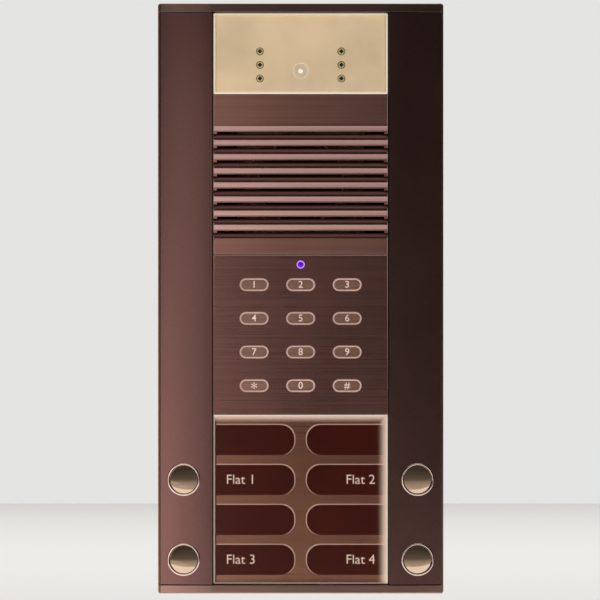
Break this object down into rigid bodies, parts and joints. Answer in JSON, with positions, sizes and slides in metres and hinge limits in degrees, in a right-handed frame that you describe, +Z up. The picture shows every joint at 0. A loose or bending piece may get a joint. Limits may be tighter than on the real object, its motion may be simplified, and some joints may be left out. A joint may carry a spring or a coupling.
{
  "type": "door intercom panel",
  "caption": "Slim wall-mounted video door station: bombé bronze side profiles, camera window, speaker louvres, pill-key keypad, name field and domed call buttons.",
  "frame": {"origin": "middle of the wall plate's rear face, which lies on the wall", "axes": "+X to the viewer's right across the width, +Z up along the height, +Y into the wall, so the front faces -Y"},
  "size_m": [0.135, 0.0246, 0.279],
  "materials": {
    "anodised_bronze": "satin bronze anodising on extruded aluminium",
    "brushed_bronze": "bronze anodising over a fine horizontal brush",
    "polished_bronze": "polished bronze plating",
    "steel": "zinc plated sheet steel",
    "dark_moulding": "fine textured moulding",
    "cream_moulding": "smooth cream moulding",
    "clear_acrylic": "clear cast acrylic, polished edges",
    "dark_card": "dark printed film with light lettering",
    "rubber": "matt silicone",
    "circuit_board": "glass epoxy board with solder mask",
    "speaker_paper": "black pressed paper",
    "violet_lamp": "tinted lamp lens",
    "lens_glass": "polished lens",
    "key_moulding": "translucent key with a brushed metal inlay"
  },
  "bodies": {
    "panel": {"bottom_end_cap": "anodised_bronze", "call_ring_left_lower": "polished_bronze", "call_ring_left_upper": "polished_bronze", "call_ring_right_lower": "polished_bronze", "call_ring_right_upper": "polished_bronze", "camera_holder": "dark_moulding", "camera_mask": "cream_moulding", "camera_window": "clear_acrylic", "chassis": "steel", "keypad_board": "circuit_board", "keypad_mat": "rubber", "keypad_plate": "brushed_bronze", "led_board": "circuit_board", "left_profile": "anodised_bronze", "left_switch_board": "circuit_board", "light_guide": "clear_acrylic", "main_board": "circuit_board", "microphone": "steel", "microphone_boot": "rubber", "name_card_1": "dark_card", "name_card_2": "dark_card", "name_card_3": "dark_card", "name_card_4": "dark_card", "name_card_5": "dark_card", "name_card_6": "dark_card", "name_card_7": "dark_card", "name_card_8": "dark_card", "rear_housing": "dark_moulding", "right_profile": "anodised_bronze", "right_switch_board": "circuit_board", "security_screw": "steel", "speaker_basket": "steel", "speaker_cone": "speaker_paper", "speaker_gasket": "rubber", "speaker_grille": "brushed_bronze", "status_led": "violet_lamp", "terminal_block": "dark_moulding", "top_end_cap": "anodised_bronze", "wall_plate": "steel"},
    "key_1": {"key_1": "key_moulding"},
    "key_2": {"key_2": "key_moulding"},
    "key_3": {"key_3": "key_moulding"},
    "key_4": {"key_4": "key_moulding"},
    "key_5": {"key_5": "key_moulding"},
    "key_6": {"key_6": "key_moulding"},
    "key_7": {"key_7": "key_moulding"},
    "key_8": {"key_8": "key_moulding"},
    "key_9": {"key_9": "key_moulding"},
    "key_star": {"key_star": "key_moulding"},
    "key_0": {"key_0": "key_moulding"},
    "key_hash": {"key_hash": "key_moulding"},
    "call_button_left_upper": {"call_button_left_upper": "polished_bronze"},
    "call_button_left_lower": {"call_button_left_lower": "polished_bronze"},
    "call_button_right_upper": {"call_button_right_upper": "polished_bronze"},
    "call_button_right_lower": {"call_button_right_lower": "polished_bronze"},
    "camera_pan": {"camera_pan_ring": "steel"},
    "camera_tilt": {"camera_head": "cream_moulding", "camera_lens": "lens_glass"},
    "nameplate_cover": {"nameplate_cover": "clear_acrylic"}
  },
  "joints": [
    {"name": "key_1_press", "type": "slide", "parent": "panel", "child": "key_1", "axis": [0, 1, 0], "range_m": [0, 0.0005], "stiffness_N_per_m": 1500},
    {"name": "key_2_press", "type": "slide", "parent": "panel", "child": "key_2", "axis": [0, 1, 0], "range_m": [0, 0.0005], "stiffness_N_per_m": 1500},
    {"name": "key_3_press", "type": "slide", "parent": "panel", "child": "key_3", "axis": [0, 1, 0], "range_m": [0, 0.0005], "stiffness_N_per_m": 1500},
    {"name": "key_4_press", "type": "slide", "parent": "panel", "child": "key_4", "axis": [0, 1, 0], "range_m": [0, 0.0005], "stiffness_N_per_m": 1500},
    {"name": "key_5_press", "type": "slide", "parent": "panel", "child": "key_5", "axis": [0, 1, 0], "range_m": [0, 0.0005], "stiffness_N_per_m": 1500},
    {"name": "key_6_press", "type": "slide", "parent": "panel", "child": "key_6", "axis": [0, 1, 0], "range_m": [0, 0.0005], "stiffness_N_per_m": 1500},
    {"name": "key_7_press", "type": "slide", "parent": "panel", "child": "key_7", "axis": [0, 1, 0], "range_m": [0, 0.0005], "stiffness_N_per_m": 1500},
    {"name": "key_8_press", "type": "slide", "parent": "panel", "child": "key_8", "axis": [0, 1, 0], "range_m": [0, 0.0005], "stiffness_N_per_m": 1500},
    {"name": "key_9_press", "type": "slide", "parent": "panel", "child": "key_9", "axis": [0, 1, 0], "range_m": [0, 0.0005], "stiffness_N_per_m": 1500},
    {"name": "key_star_press", "type": "slide", "parent": "panel", "child": "key_star", "axis": [0, 1, 0], "range_m": [0, 0.0005], "stiffness_N_per_m": 1500},
    {"name": "key_0_press", "type": "slide", "parent": "panel", "child": "key_0", "axis": [0, 1, 0], "range_m": [0, 0.0005], "stiffness_N_per_m": 1500},
    {"name": "key_hash_press", "type": "slide", "parent": "panel", "child": "key_hash", "axis": [0, 1, 0], "range_m": [0, 0.0005], "stiffness_N_per_m": 1500},
    {"name": "call_button_left_upper_press", "type": "slide", "parent": "panel", "child": "call_button_left_upper", "axis": [0.1467, 0.9892, 0], "range_m": [0, 0.0008], "stiffness_N_per_m": 1500},
    {"name": "call_button_left_lower_press", "type": "slide", "parent": "panel", "child": "call_button_left_lower", "axis": [0.1467, 0.9892, 0], "range_m": [0, 0.0008], "stiffness_N_per_m": 1500},
    {"name": "call_button_right_upper_press", "type": "slide", "parent": "panel", "child": "call_button_right_upper", "axis": [-0.1467, 0.9892, 0], "range_m": [0, 0.0008], "stiffness_N_per_m": 1500},
    {"name": "call_button_right_lower_press", "type": "slide", "parent": "panel", "child": "call_button_right_lower", "axis": [-0.1467, 0.9892, 0], "range_m": [0, 0.0008], "stiffness_N_per_m": 1500},
    {"name": "camera_pan_turn", "type": "hinge", "parent": "panel", "child": "camera_pan", "pos_m": [0, -0.0153, 0.1074], "axis": [0, 0, 1], "range_deg": [-15, 15]},
    {"name": "camera_tilt_turn", "type": "hinge", "parent": "camera_pan", "child": "camera_tilt", "pos_m": [0, -0.0153, 0.1074], "axis": [1, 0, 0], "range_deg": [-15, 15]},
    {"name": "nameplate_cover_lift", "type": "slide", "parent": "panel", "child": "nameplate_cover", "axis": [0, -1, 0], "range_m": [0, 0.02]}
  ]
}
